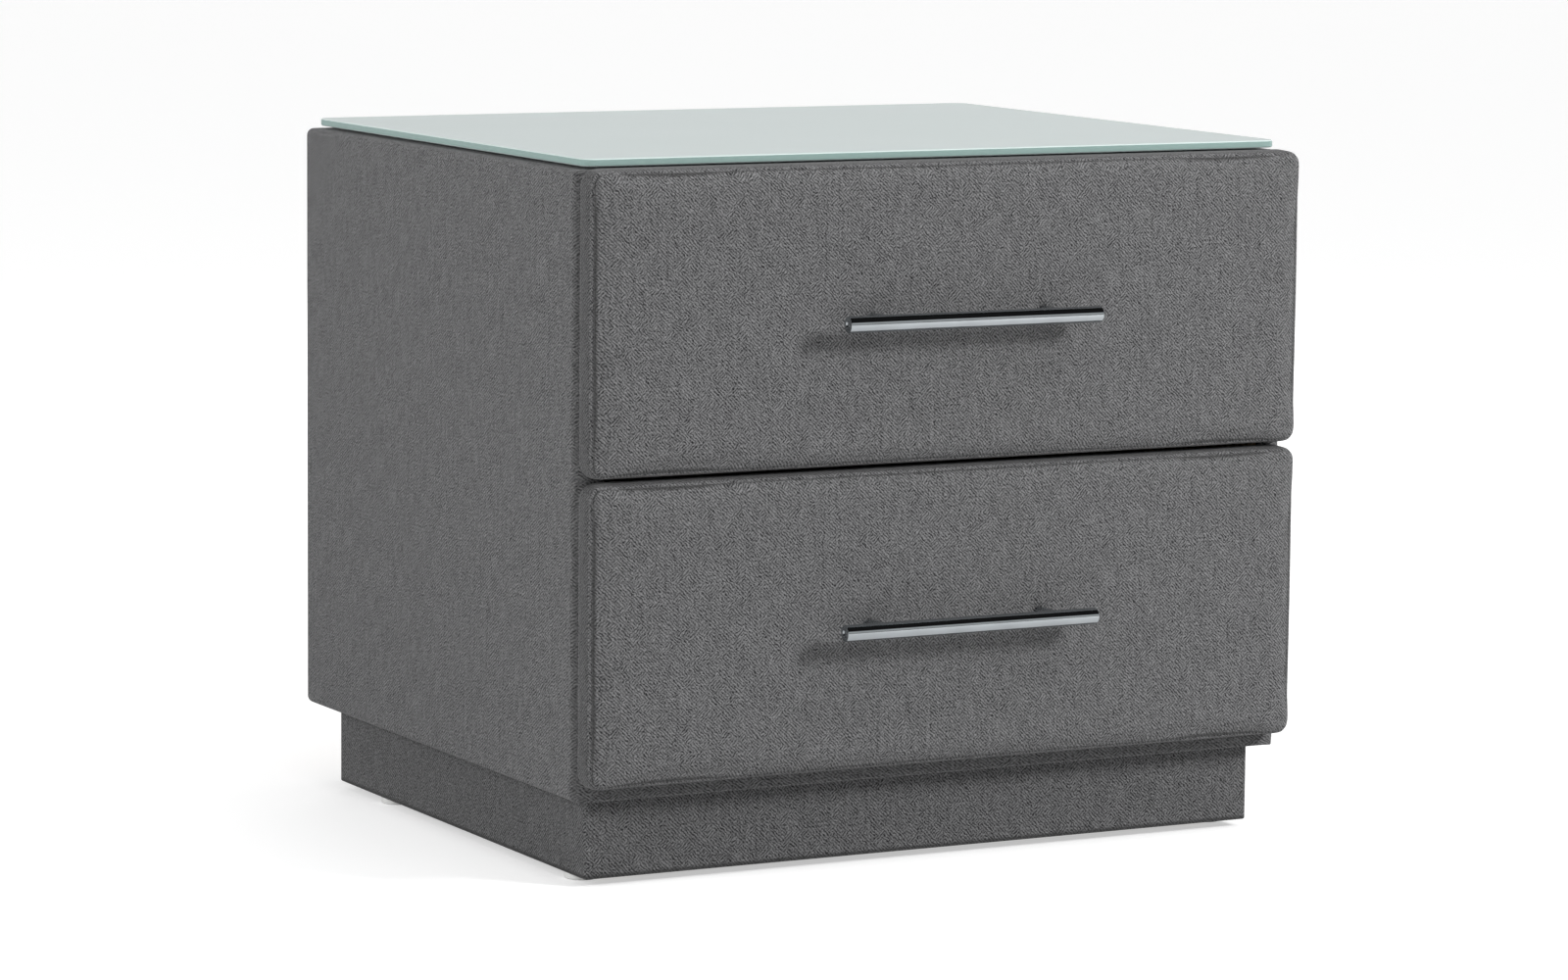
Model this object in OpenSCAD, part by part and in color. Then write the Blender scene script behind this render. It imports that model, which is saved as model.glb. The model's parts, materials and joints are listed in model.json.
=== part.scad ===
// Two-drawer nightstand, upholstered in grey fabric, with a frosted glass top.
// Millimetres. +Z is up and the drawers open towards -Y.
// The origin is on the floor, at the middle of the width and of the whole depth, handles included.

/* [Carcass] */
// Width over the fabric of the two sides
body_w = 530; // [420:5:700]
// Depth of the carcass, from its front plane to the back of the back panel
carcass_d = 440; // [350:2:600]
// Height from the floor to the top of the glass
overall_h = 470; // [390:5:640]
// Thickness of the carcass and plinth boards
board_t = 16; // [12:1:22]
// Thickness of the foam and fabric on the carcass
skin_t = 3; // [2:0.5:5]
// Radius of the soft long edges of the carcass
edge_r = 5; // [4:0.5:10]
// Width of side fabric that turns on to the top and the bottom
cover_turn = 12; // [11:1:30]
// Thickness of the back panel
back_t = 3; // [2.5:0.5:6]
// Thickness of the fabric folded over the rear edges
fold_t = 1.5; // [0.8:0.1:3]
// Distance of the back panel from the outer faces
back_inset = 6; // [5:0.5:12]

/* [Plinth] */
// Height of the plinth, from its lower edge to the carcass
plinth_h = 53; // [35:1:90]
// Plinth setback at each side
plinth_side_in = 14; // [5:0.1:60]
// Plinth setback behind the carcass front plane
plinth_front_in = 13.8; // [5:0.1:80]
// Plinth setback in front of the carcass back
plinth_back_in = 31; // [5:0.1:80]
// Thickness of the fabric on the plinth
plinth_skin = 1.5; // [0.8:0.1:3]
// Side of the square corner blocks
block_w = 32; // [24:1:50]
// Diameter of the floor glides
glide_d = 22; // [16:1:30]
// Height of the glides under the plinth
glide_h = 5; // [3:0.5:10]
// Glide centre from the plinth's side face
glide_side_in = 13; // [12:0.5:30]
// Front glide centre behind the plinth's front face
glide_front_in = 32; // [20:1:80]
// Rear glide centre ahead of the plinth's back face
glide_back_in = 70; // [20:1:120]

/* [Glass top] */
// Thickness of the glass
glass_t = 5; // [4:0.5:10]
// Glass setback from the carcass at each side
glass_side_in = 6.8; // [2:0.1:20]
// Glass setback behind the carcass front plane
glass_front_in = 2; // [2:0.1:20]
// Glass setback in front of the carcass back
glass_back_in = 8; // [2:0.1:30]
// Plan radius of the glass corners
glass_r = 10; // [5:1:40]
// Width of the ground arris along the glass edges
arris = 0.6; // [0.3:0.1:1]
// Height of the clear bumpers that carry the glass
bumper_h = 2; // [1:0.5:6]
// Diameter of the bumpers
bumper_d = 14; // [8:1:20]
// Bumper centre from the edges of the glass
bumper_in = 40; // [20:1:90]

/* [Drawer fronts] */
// Thickness of the front board
front_board_t = 16; // [12:1:22]
// Depth of the padding on the face of the front
pad_t = 5; // [3:0.5:12]
// Depth of the padding round the edges of the front
pad_edge_t = 3; // [2:0.5:6]
// Corner radius of the front, seen from ahead
front_r = 12; // [6:1:20]
// Gap between the front board and the carcass
front_gap = 1.6; // [1.4:0.1:4]
// Thickness of the hem stapled on the back of the front board
hem_t = 1; // [0.5:0.1:1]
// Width of that hem
hem_w = 19; // [10:1:20]
// Distance of each front from the side planes of the carcass
front_side_in = 0.5; // [0:0.1:5]
// Gap between the two fronts
between_gap = 2.4; // [1.5:0.1:6]
// Height of carcass that shows below the lower front
lower_reveal = 10; // [2:0.5:20]
// Height by which the upper front stands above the carcass
upper_rise = 1.5; // [-4:0.5:2]

/* [Drawer boxes] */
// Thickness of the drawer box boards
box_t = 12; // [9:1:16]
// Thickness of the drawer bottom
base_t = 4; // [3:0.5:6]
// Top edge of the drawer box below the top of its front
box_drop = 52.8; // [40:0.2:80]
// Bottom edge of the drawer box above the bottom of its front
box_rise = 24; // [23:1:40]
// Lower edge of the box below the groove for the bottom
groove_z = 10; // [8:1:15]
// Depth of that groove
groove_d = 6; // [4:0.5:8]

/* [Slides] */
// Step between the lengths that slides come in
slide_step = 50; // [25:25:100]
// Least room behind a closed slide
slide_room = 10; // [5:1:60]
// Space between carcass and drawer box that a slide fills
slide_t = 12.7; // [12.7:0.1:14]
// Height of the slide's outer member
slide_h = 45; // [40:1:46]
// Sheet thickness of the slide members
slide_sheet = 1.2; // [1:0.1:1.5]
// Ball diameter, which spaces one member from the next
ball_d = 3.2; // [2.5:0.1:3.5]
// Slide setback behind the carcass front plane
slide_in = 5; // [4:0.5:12]

/* [Handles] */
// Length of the handle bar
bar_len = 188; // [128:4:320]
// Diameter of the bar
bar_d = 11; // [8:1:16]
// Spacing of the two posts
hole_pitch = 128; // [96:32:256]
// Diameter of the posts
post_d = 10; // [6:1:12]
// Bar axis ahead of the front's face
bar_out = 21; // [18:1:40]
// Bar axis below the middle of its front
bar_drop = 3; // [-20:0.5:20]
// Chamfer on the ends of the bar
bar_chamfer = 0.8; // [0.3:0.1:2]

/* [Fasteners] */
// Shank diameter of the carcass and plinth screws
big_screw_d = 5; // [4:0.5:7]
// Shank diameter of the small wood screws
small_screw_d = 3.5; // [3:0.5:4]
// Shank diameter of the handle screws
handle_screw_d = 4; // [3:0.5:5]
// Radial clearance of every screw in its hole
hole_clear = 0.1; // [0.05:0.05:0.3]
// Clearance between pieces that fit without touching
fit_clear = 0.1; // [0.05:0.05:0.3]

/* [Hidden] */
SIDES = ["left", "right"];
ROWS = ["upper", "lower"];
ROW_PARTS = ["front_board", "front_cover", "box_front", "box_back", "box_bottom", "handle_bar",
    "handle_posts", "handle_screws", "box_screws", "front_screws", "slide_screws"];
SIDE_PARTS = ["box_side", "slide_outer", "slide_middle", "slide_inner"];

$fn = 48;
eps = 0.01;
through = 1;

half_w = body_w / 2;
handle_reach = bar_out + bar_d / 2;
front_stack = front_gap + front_board_t + pad_t;
total_d = carcass_d + front_stack + handle_reach;
back_y = total_d / 2;
carcass_y = back_y - carcass_d;
board_back_y = carcass_y - front_gap;
board_face_y = board_back_y - front_board_t;
face_y = board_face_y - pad_t;
bar_y = face_y - bar_out;

carcass_z = glide_h + plinth_h;
carcass_top = overall_h - glass_t - bumper_h;
carcass_h = carcass_top - carcass_z;
cover_back_y = back_y - back_t;
frame_y = carcass_y + skin_t;
frame_d = cover_back_y - fold_t - frame_y;
frame_z = carcass_z + skin_t;
frame_h = carcass_h - 2 * skin_t;
frame_half = half_w - skin_t;
inner_half = frame_half - board_t;
inner_z = frame_z + board_t;
inner_h = frame_h - 2 * board_t;

front_w = body_w - 2 * front_side_in;
fronts_z = carcass_z + lower_reveal;
front_h = (carcass_top + upper_rise - fronts_z - between_gap) / 2;
bar_end_r = bar_d / 2 - bar_chamfer;

slide_y = carcass_y + slide_in;
slide_len = slide_step * floor((cover_back_y - slide_room - slide_y) / slide_step);
slide_rise = (front_h + box_rise - box_drop) / 2;
box_h = front_h - box_rise - box_drop;
box_d = slide_len;
box_half = inner_half - slide_t;
box_inner_half = box_half - box_t;
slot = ball_d + fit_clear;
middle_h = slide_h - 2 * slide_sheet - 2 * slot;
inner_slide_h = middle_h - 2 * slide_sheet - 2 * slot;
slide_head_h = 1.6;
slide_head_d = 7;
head_play = 0.4;
member_play = 0.6;
flange_short = 2.4;
middle_u = slide_sheet + slide_head_h + head_play;
inner_u = middle_u + slide_sheet + member_play;
flange_end = slide_t - flange_short;

plinth_half = half_w - plinth_side_in;
plinth_y = carcass_y + plinth_front_in;
plinth_back_y = back_y - plinth_back_in;
plinth_in_half = plinth_half - plinth_skin;
plinth_in_y = plinth_y + plinth_skin;
plinth_in_back = plinth_back_y - plinth_skin;
plinth_board_z = glide_h + plinth_skin;
plinth_board_h = carcass_z - plinth_board_z;
glide_xs = [-plinth_half + glide_side_in, plinth_half - glide_side_in];
glide_ys = [plinth_y + glide_front_in, plinth_back_y - glide_back_in];
glide_pin_d = 3;
glide_pin_len = 16;
glide_foot = 1.5;
block_xs = [-plinth_in_half + board_t, plinth_in_half - board_t - block_w];
block_ys = [plinth_in_y + board_t, plinth_in_back - board_t - block_w];

glass_half = half_w - glass_side_in;
glass_y = carcass_y + glass_front_in;
glass_d = carcass_d - glass_front_in - glass_back_in;

big_head_d = 2 * big_screw_d;
big_head_h = big_screw_d / 2;
small_head_d = 2 * small_screw_d;
small_head_h = small_screw_d / 2;
board_bite = 0.7;
corner_screw_len = 45;
screws_apart = 25;
corner_screw_ys = [block_ys[0] + block_w / 2 + screws_apart,
    block_ys[1] + block_w / 2 - screws_apart];
corner_screw_zs = [frame_z + board_t / 2, frame_z + frame_h - board_t / 2];
plinth_screw_len = plinth_board_h + skin_t + board_t * board_bite;
back_screw_len = 18;
back_screw_d = 3;
slide_screw_len = 10;
slide_screw_front = 37;
slide_screw_back = 70;
box_screw_len = 35;
box_screw_low = 30;
box_screw_high = 25;
front_screw_len = box_t + front_board_t * board_bite;
front_screw_side = 40;
front_screw_low = 25;
front_screw_high = 20;
handle_thread = 10;
handle_screw_len = box_t + front_board_t + pad_t + handle_thread;
handle_head_d = 2 * handle_screw_d;
handle_head_h = 2.5;
slide_screw_ys = [slide_y + slide_screw_front, slide_y + slide_len - slide_screw_back];
box_screw_zs = [box_screw_low, box_h - box_screw_high];
front_screw_xs = [front_screw_side - box_inner_half, box_inner_half - front_screw_side];
front_screw_zs = [front_screw_low, box_h - front_screw_high];

fabric = [0.36, 0.36, 0.37];
chipboard = [0.78, 0.68, 0.52];
melamine = [0.86, 0.85, 0.83];
steel = [0.72, 0.73, 0.75];

function front_z(row) = row == "lower" ? fronts_z : fronts_z + front_h + between_gap;
function box_z(row) = front_z(row) + box_rise;
function bar_z(row) = front_z(row) + front_h / 2 - bar_drop;
function slide_z(row) = front_z(row) + slide_rise;
function side_sign(side) = side == "left" ? -1 : 1;

// A block from its low corner and its size.
module block(low, size) {
    translate(low) cube(size);
}

// A rectangle centred on the origin with rounded corners.
module round_rect(w, h, r) {
    square([w - 2 * r, h], center = true);
    square([w, h - 2 * r], center = true);
    for (x = [-1, 1], z = [-1, 1])
        translate([x * (w / 2 - r), z * (h / 2 - r)]) circle(r);
}

// A rounded panel in the XZ plane, from y to y + d, standing on z.
module upright_panel(w, h, r, y, z, d) {
    translate([0, y + d, z + h / 2]) rotate([90, 0, 0]) linear_extrude(d) round_rect(w, h, r);
}

// Points local +Z along the world direction of dir.
module aim(dir) {
    turn = dir == "+x" ? [0, 90, 0] : dir == "-x" ? [0, -90, 0]
        : dir == "+y" ? [-90, 0, 0] : dir == "-y" ? [90, 0, 0] : [0, 0, 0];
    rotate(turn) children();
}

// A screw with its head sunk flush at the origin and its tip along +Z.
module sunk_screw(d, len, head_d, head_h, clear = 0) {
    cylinder(h = head_h, d1 = head_d + 2 * clear, d2 = d + 2 * clear);
    cylinder(h = len + clear, d = d + 2 * clear);
    if (clear > 0) translate([0, 0, -through]) cylinder(h = through + eps, d = head_d + 2 * clear);
}

// A screw with its head standing on the surface at the origin.
module pan_screw(d, len, head_d, head_h, clear = 0) {
    translate([0, 0, -eps]) cylinder(h = len + clear + eps, d = d + 2 * clear);
    if (clear == 0) translate([0, 0, -head_h]) cylinder(h = head_h, d = head_d);
}

// Where the carcass is screwed together, through the sides into the top and the bottom.
module at_corner_screws(side) {
    for (y = corner_screw_ys, z = corner_screw_zs)
        translate([side_sign(side) * frame_half, y, z])
            aim(side == "left" ? "+x" : "-x") children();
}

// Where the slides are screwed to the carcass sides.
module at_carcass_slide_screws(side) {
    for (row = ROWS, y = slide_screw_ys)
        translate([side_sign(side) * (inner_half - slide_sheet), y, slide_z(row)])
            aim(side == "left" ? "-x" : "+x") children();
}

// Where the inner slide members are screwed to a drawer box.
module at_drawer_slide_screws(row, side) {
    for (y = slide_screw_ys)
        translate([side_sign(side) * (box_half + slide_sheet), y, slide_z(row)])
            aim(side == "left" ? "+x" : "-x") children();
}

// Where the plinth is screwed up into the bottom panel, through its corner blocks.
module at_plinth_screws() {
    for (x = block_xs, y = block_ys)
        translate([x + block_w / 2, y + block_w / 2, plinth_board_z]) children();
}

// Where the back panel is screwed to the edges of the carcass boards.
module at_back_screws() {
    for (x = [-1, 0, 1], z = corner_screw_zs)
        translate([x * (frame_half - board_t / 2), back_y, z]) aim("-y") children();
    for (x = [-1, 1])
        translate([x * (frame_half - board_t / 2), back_y, carcass_z + carcass_h / 2])
            aim("-y") children();
}

module at_glides() {
    for (x = glide_xs, y = glide_ys) translate([x, y, 0]) children();
}

module corner_hole() {
    sunk_screw(big_screw_d, corner_screw_len, big_head_d, big_head_h, hole_clear);
}

module plinth_hole() {
    sunk_screw(big_screw_d, plinth_screw_len, big_head_d, big_head_h, hole_clear);
}

module back_hole() {
    sunk_screw(back_screw_d, back_screw_len, 2 * back_screw_d, back_screw_d / 2, hole_clear);
}

module slide_hole() {
    pan_screw(small_screw_d, slide_screw_len, slide_head_d, slide_head_h, hole_clear);
}

module glide_hole() {
    cylinder(h = glide_h + glide_pin_len + hole_clear, d = glide_pin_d + 2 * hole_clear);
}

module side_panel(side) {
    low_x = side == "left" ? -frame_half : inner_half;
    color(chipboard) difference() {
        block([low_x, frame_y, frame_z], [board_t, frame_d, frame_h]);
        at_corner_screws(side) corner_hole();
        at_carcass_slide_screws(side) slide_hole();
        at_back_screws() back_hole();
    }
}

// The top or the bottom board, between the sides.
module flat_panel(z) {
    color(chipboard) difference() {
        block([-inner_half, frame_y, z], [2 * inner_half, frame_d, board_t]);
        for (side = SIDES) at_corner_screws(side) corner_hole();
        at_back_screws() back_hole();
        at_plinth_screws() plinth_hole();
    }
}

module top_panel() {
    flat_panel(inner_z + inner_h);
}

module bottom_panel() {
    flat_panel(frame_z);
}

module back_panel() {
    color([0.5, 0.42, 0.33]) difference() {
        block([back_inset - half_w, cover_back_y, carcass_z + back_inset],
            [body_w - 2 * back_inset, back_t, carcass_h - 2 * back_inset]);
        at_back_screws() back_hole();
    }
}

// Foam and fabric all round the carcass boards, folded over their front and rear edges.
module carcass_skin() {
    difference() {
        upright_panel(body_w, carcass_h, edge_r, carcass_y, carcass_z, cover_back_y - carcass_y);
        block([-frame_half, frame_y, frame_z], [2 * frame_half, frame_d, frame_h]);
        block([-inner_half, carcass_y - through, inner_z],
            [2 * inner_half, carcass_d + 2 * through, inner_h]);
        at_back_screws() back_hole();
        at_plinth_screws() plinth_hole();
    }
}

module side_cover(side) {
    low_x = side == "left" ? -half_w : half_w - cover_turn;
    color(fabric) intersection() {
        carcass_skin();
        block([low_x, carcass_y, carcass_z], [cover_turn, carcass_d, carcass_h]);
    }
    color(fabric) intersection() {
        carcass_skin();
        block([side == "left" ? cover_turn - half_w - eps : inner_half, carcass_y, inner_z],
            [half_w - cover_turn + eps - inner_half, carcass_d, inner_h]);
    }
}

// The middle stretch of the skin, over the top board or under the bottom board.
module flat_cover(z, h) {
    color(fabric) intersection() {
        carcass_skin();
        block([cover_turn - half_w, carcass_y, z], [body_w - 2 * cover_turn, carcass_d, h]);
    }
}

module top_cover() {
    flat_cover(inner_z + inner_h, board_t + skin_t);
}

module bottom_cover() {
    flat_cover(carcass_z, board_t + skin_t);
}

module plinth_board(low, size) {
    color(chipboard) difference() {
        block(low, size);
        at_glides() glide_hole();
    }
}

module plinth_front() {
    plinth_board([-plinth_in_half, plinth_in_y, plinth_board_z],
        [2 * plinth_in_half, board_t, plinth_board_h]);
}

module plinth_back() {
    plinth_board([-plinth_in_half, plinth_in_back - board_t, plinth_board_z],
        [2 * plinth_in_half, board_t, plinth_board_h]);
}

module plinth_side(side) {
    low_x = side == "left" ? -plinth_in_half : plinth_in_half - board_t;
    plinth_board([low_x, plinth_in_y + board_t, plinth_board_z],
        [board_t, plinth_in_back - plinth_in_y - 2 * board_t, plinth_board_h]);
}

// Fabric round the plinth, turned under its lower edge.
module plinth_cover() {
    core = plinth_skin + board_t;
    color(fabric) difference() {
        block([-plinth_half, plinth_y, glide_h],
            [2 * plinth_half, plinth_back_y - plinth_y, plinth_h]);
        block([-plinth_in_half, plinth_in_y, plinth_board_z],
            [2 * plinth_in_half, plinth_in_back - plinth_in_y, plinth_h]);
        block([core - plinth_half, plinth_y + core, 0],
            [2 * (plinth_half - core), plinth_back_y - plinth_y - 2 * core, plinth_h]);
        at_glides() glide_hole();
    }
}

module plinth_blocks() {
    color(chipboard) difference() {
        for (x = block_xs, y = block_ys)
            block([x, y, plinth_board_z], [block_w, block_w, plinth_board_h]);
        at_plinth_screws() plinth_hole();
        at_glides() glide_hole();
    }
}

// Plastic glides, each with a pin up into the plinth.
module glides() {
    color([0.93, 0.93, 0.92]) at_glides() {
        cylinder(h = glide_foot, d1 = glide_d - 2 * glide_foot, d2 = glide_d);
        translate([0, 0, glide_foot]) cylinder(h = glide_h - glide_foot, d = glide_d);
        translate([0, 0, glide_h - eps]) cylinder(h = glide_pin_len, d = glide_pin_d);
    }
}

// Outline of the glass, inset all round by inset.
module glass_outline(inset) {
    translate([0, glass_y + glass_d / 2])
        round_rect(2 * (glass_half - inset), glass_d - 2 * inset, glass_r - inset);
}

module glass_top() {
    base = carcass_top + bumper_h;
    color([0.79, 0.84, 0.83, 0.9]) {
        translate([0, 0, base]) linear_extrude(arris + eps) glass_outline(arris);
        translate([0, 0, base + arris]) linear_extrude(glass_t - 2 * arris) glass_outline(0);
        translate([0, 0, base + glass_t - arris - eps]) linear_extrude(arris + eps)
            glass_outline(arris);
    }
}

module glass_bumpers() {
    color([0.9, 0.92, 0.92, 0.5])
        for (x = [bumper_in - glass_half, glass_half - bumper_in],
            y = [glass_y + bumper_in, glass_y + glass_d - bumper_in])
            translate([x, y, carcass_top]) cylinder(h = bumper_h, d = bumper_d);
}

module carcass_screws() {
    color(steel) for (side = SIDES)
        at_corner_screws(side) sunk_screw(big_screw_d, corner_screw_len, big_head_d, big_head_h);
}

module plinth_screws() {
    color(steel) at_plinth_screws()
        sunk_screw(big_screw_d, plinth_screw_len, big_head_d, big_head_h);
}

module back_screws() {
    color(steel) at_back_screws()
        sunk_screw(back_screw_d, back_screw_len, 2 * back_screw_d, back_screw_d / 2);
}

module carcass_slide_screws() {
    color(steel) for (side = SIDES) at_carcass_slide_screws(side)
        pan_screw(small_screw_d, slide_screw_len, slide_head_d, slide_head_h);
}

// A folded channel along the slide, open on one side: u runs from the carcass to the drawer.
module channel(web_u, tip_u, h, side, z) {
    low_u = min(web_u, tip_u);
    far_u = max(web_u, tip_u);
    web_low = web_u < tip_u ? web_u : web_u - slide_sheet;
    s = side_sign(side);
    for (part = [[low_u, far_u, -h / 2, slide_sheet], [low_u, far_u, h / 2 - slide_sheet, slide_sheet],
        [web_low, web_low + slide_sheet, -h / 2, h]]) {
        near = inner_half - part[0];
        far = inner_half - part[1];
        block([s > 0 ? far : -near, slide_y, z + part[2]], [near - far, slide_len, part[3]]);
    }
}

module slide_outer(row, side) {
    color(steel) difference() {
        channel(0, flange_end, slide_h, side, slide_z(row));
        at_carcass_slide_screws(side) slide_hole();
    }
}

module slide_middle(row, side) {
    color(steel) channel(middle_u, flange_end, middle_h, side, slide_z(row));
}

module slide_inner(row, side) {
    color(steel) difference() {
        channel(slide_t, inner_u, inner_slide_h, side, slide_z(row));
        at_drawer_slide_screws(row, side) slide_hole();
    }
}

// Where the two handle screws pass through the front, aimed forwards.
module at_handle_screws(row) {
    for (x = [-hole_pitch / 2, hole_pitch / 2])
        translate([x, board_back_y + box_t, bar_z(row)]) aim("-y") children();
}

// Where the box front is screwed to the front board, aimed forwards.
module at_front_screws(row) {
    for (x = front_screw_xs, z = front_screw_zs)
        translate([x, board_back_y + box_t, box_z(row) + z]) aim("-y") children();
}

// Where a box side is screwed to the box front and back.
module at_box_screws(row, side) {
    for (y = [board_back_y + box_t / 2, board_back_y + box_d - box_t / 2], z = box_screw_zs)
        translate([side_sign(side) * box_half, y, box_z(row) + z])
            aim(side == "left" ? "+x" : "-x") children();
}

module handle_hole() {
    pan_screw(handle_screw_d, handle_screw_len, handle_head_d, handle_head_h, hole_clear);
}

module box_hole() {
    sunk_screw(small_screw_d, box_screw_len, small_head_d, small_head_h, hole_clear);
}

module front_hole() {
    sunk_screw(small_screw_d, front_screw_len, small_head_d, small_head_h, hole_clear);
}

module front_board(row) {
    color(chipboard) difference() {
        upright_panel(front_w - 2 * pad_edge_t, front_h - 2 * pad_edge_t, front_r - pad_edge_t,
            board_face_y, front_z(row) + pad_edge_t, front_board_t);
        at_handle_screws(row) handle_hole();
        at_front_screws(row) front_hole();
    }
}

// Foam and fabric over a front board, with its hem folded on to the back of the board.
module front_cover(row) {
    hem_in = pad_edge_t + hem_w;
    color(fabric) difference() {
        upright_panel(front_w, front_h, front_r, face_y, front_z(row),
            pad_t + front_board_t + hem_t);
        upright_panel(front_w - 2 * pad_edge_t, front_h - 2 * pad_edge_t, front_r - pad_edge_t,
            board_face_y, front_z(row) + pad_edge_t, front_board_t);
        block([hem_in - front_w / 2, board_back_y - through, front_z(row) + hem_in],
            [front_w - 2 * hem_in, hem_t + 2 * through, front_h - 2 * hem_in]);
        at_handle_screws(row) handle_hole();
    }
}

// The groove that holds the drawer bottom on all four sides.
module base_groove(row) {
    reach = box_inner_half + groove_d + fit_clear;
    block([-reach, board_back_y + box_t - groove_d - fit_clear, box_z(row) + groove_z],
        [2 * reach, box_d - 2 * (box_t - groove_d - fit_clear), base_t + fit_clear]);
}

module box_side(row, side) {
    low_x = side == "left" ? -box_half : box_inner_half;
    color(melamine) difference() {
        block([low_x, board_back_y, box_z(row)], [box_t, box_d, box_h]);
        base_groove(row);
        at_box_screws(row, side) box_hole();
        at_drawer_slide_screws(row, side) slide_hole();
    }
}

module box_end(row, y) {
    color(melamine) difference() {
        block([-box_inner_half, y, box_z(row)], [2 * box_inner_half, box_t, box_h]);
        base_groove(row);
        for (side = SIDES) at_box_screws(row, side) box_hole();
        at_handle_screws(row) handle_hole();
        at_front_screws(row) front_hole();
    }
}

module box_bottom(row) {
    color(melamine)
        block([-box_inner_half - groove_d, board_back_y + box_t - groove_d, box_z(row) + groove_z],
            [2 * (box_inner_half + groove_d), box_d - 2 * (box_t - groove_d), base_t]);
}

module handle_bar(row) {
    color([0.8, 0.81, 0.83]) translate([-bar_len / 2, bar_y, bar_z(row)]) aim("+x") {
        cylinder(h = bar_chamfer, r1 = bar_end_r, d2 = bar_d);
        translate([0, 0, bar_chamfer]) cylinder(h = bar_len - 2 * bar_chamfer, d = bar_d);
        translate([0, 0, bar_len - bar_chamfer]) cylinder(h = bar_chamfer, d1 = bar_d, r2 = bar_end_r);
    }
}

// The two posts, hollowed to seat the bar and drilled for the screws.
module handle_posts(row) {
    color([0.8, 0.81, 0.83]) difference() {
        for (x = [-hole_pitch / 2, hole_pitch / 2])
            translate([x, face_y, bar_z(row)]) aim("-y") cylinder(h = bar_out, d = post_d);
        translate([-bar_len / 2, bar_y, bar_z(row)]) aim("+x") cylinder(h = bar_len, d = bar_d);
        at_handle_screws(row) handle_hole();
    }
}

module handle_screws(row) {
    color(steel) at_handle_screws(row)
        pan_screw(handle_screw_d, handle_screw_len, handle_head_d, handle_head_h);
}

module box_screws(row) {
    color(steel) for (side = SIDES) at_box_screws(row, side)
        sunk_screw(small_screw_d, box_screw_len, small_head_d, small_head_h);
}

module front_screws(row) {
    color(steel) at_front_screws(row)
        sunk_screw(small_screw_d, front_screw_len, small_head_d, small_head_h);
}

module drawer_slide_screws(row) {
    color(steel) for (side = SIDES) at_drawer_slide_screws(row, side)
        pan_screw(small_screw_d, slide_screw_len, slide_head_d, slide_head_h);
}

side_panel("left");  // side_panel_left
side_panel("right");  // side_panel_right
top_panel();
bottom_panel();
back_panel();
side_cover("left");  // side_cover_left
side_cover("right");  // side_cover_right
top_cover();
bottom_cover();
plinth_front();
plinth_back();
plinth_side("left");  // plinth_left
plinth_side("right");  // plinth_right
plinth_cover();
plinth_blocks();
glides();
glass_top();
glass_bumpers();
carcass_screws();
plinth_screws();
back_screws();
carcass_slide_screws();
for (row = ROWS) {
    front_board(row);
    front_cover(row);
    box_end(row, board_back_y);
    box_end(row, board_back_y + box_d - box_t);
    box_bottom(row);
    handle_bar(row);
    handle_posts(row);
    handle_screws(row);
    box_screws(row);
    front_screws(row);
    drawer_slide_screws(row);
    for (side = SIDES) {
        box_side(row, side);
        slide_outer(row, side);
        slide_middle(row, side);
        slide_inner(row, side);
    }
}
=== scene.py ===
# %% [markdown]
# # An upholstered nightstand with a glass top
# The boards, slides, screws and joints of this cabinet are already made, and they come in as a
# fixed frame. This lesson dresses that frame: fabric over foam, padded drawer fronts, chrome
# handles, frosted glass, and softened edges on every board. Every new piece takes its place
# from the frame, so nothing has to be fitted afterwards.

# %% Load the frame
import json
import math

import bmesh
import bpy
from mathutils import Matrix, Vector


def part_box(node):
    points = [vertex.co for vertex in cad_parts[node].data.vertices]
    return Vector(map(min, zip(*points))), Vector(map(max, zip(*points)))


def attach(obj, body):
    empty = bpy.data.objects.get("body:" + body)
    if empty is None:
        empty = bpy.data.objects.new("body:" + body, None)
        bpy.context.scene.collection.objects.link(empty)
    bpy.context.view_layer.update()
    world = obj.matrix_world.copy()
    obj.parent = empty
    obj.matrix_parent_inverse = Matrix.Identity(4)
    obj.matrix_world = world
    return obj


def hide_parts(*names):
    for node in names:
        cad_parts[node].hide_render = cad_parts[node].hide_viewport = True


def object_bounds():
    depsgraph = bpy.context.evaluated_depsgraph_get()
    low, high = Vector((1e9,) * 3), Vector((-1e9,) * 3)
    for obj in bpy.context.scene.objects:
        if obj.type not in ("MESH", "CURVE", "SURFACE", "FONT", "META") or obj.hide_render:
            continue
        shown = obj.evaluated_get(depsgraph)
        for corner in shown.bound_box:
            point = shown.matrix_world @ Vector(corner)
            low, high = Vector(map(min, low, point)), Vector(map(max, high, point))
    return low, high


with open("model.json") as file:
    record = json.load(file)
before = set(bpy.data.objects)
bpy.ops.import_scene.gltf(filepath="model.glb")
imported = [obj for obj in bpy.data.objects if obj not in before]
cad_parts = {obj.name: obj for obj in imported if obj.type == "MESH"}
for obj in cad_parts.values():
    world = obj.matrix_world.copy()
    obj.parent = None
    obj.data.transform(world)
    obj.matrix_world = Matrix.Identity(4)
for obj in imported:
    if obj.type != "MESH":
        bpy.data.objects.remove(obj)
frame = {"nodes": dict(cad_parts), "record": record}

MM = 0.001
ROWS = ["upper", "lower"]
SIDES = ["left", "right"]
cad_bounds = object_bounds()
print("frame", [tuple(round(v, 4) for v in corner) for corner in cad_bounds])

# %% [markdown]
# ## The camera
# The cabinet is seen from its front left, a little above the glass. A long lens keeps its
# upright edges nearly parallel. The camera looks down by its pitch, turns by its yaw, and has
# a slight roll, which are three plain rotations in a row.

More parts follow.
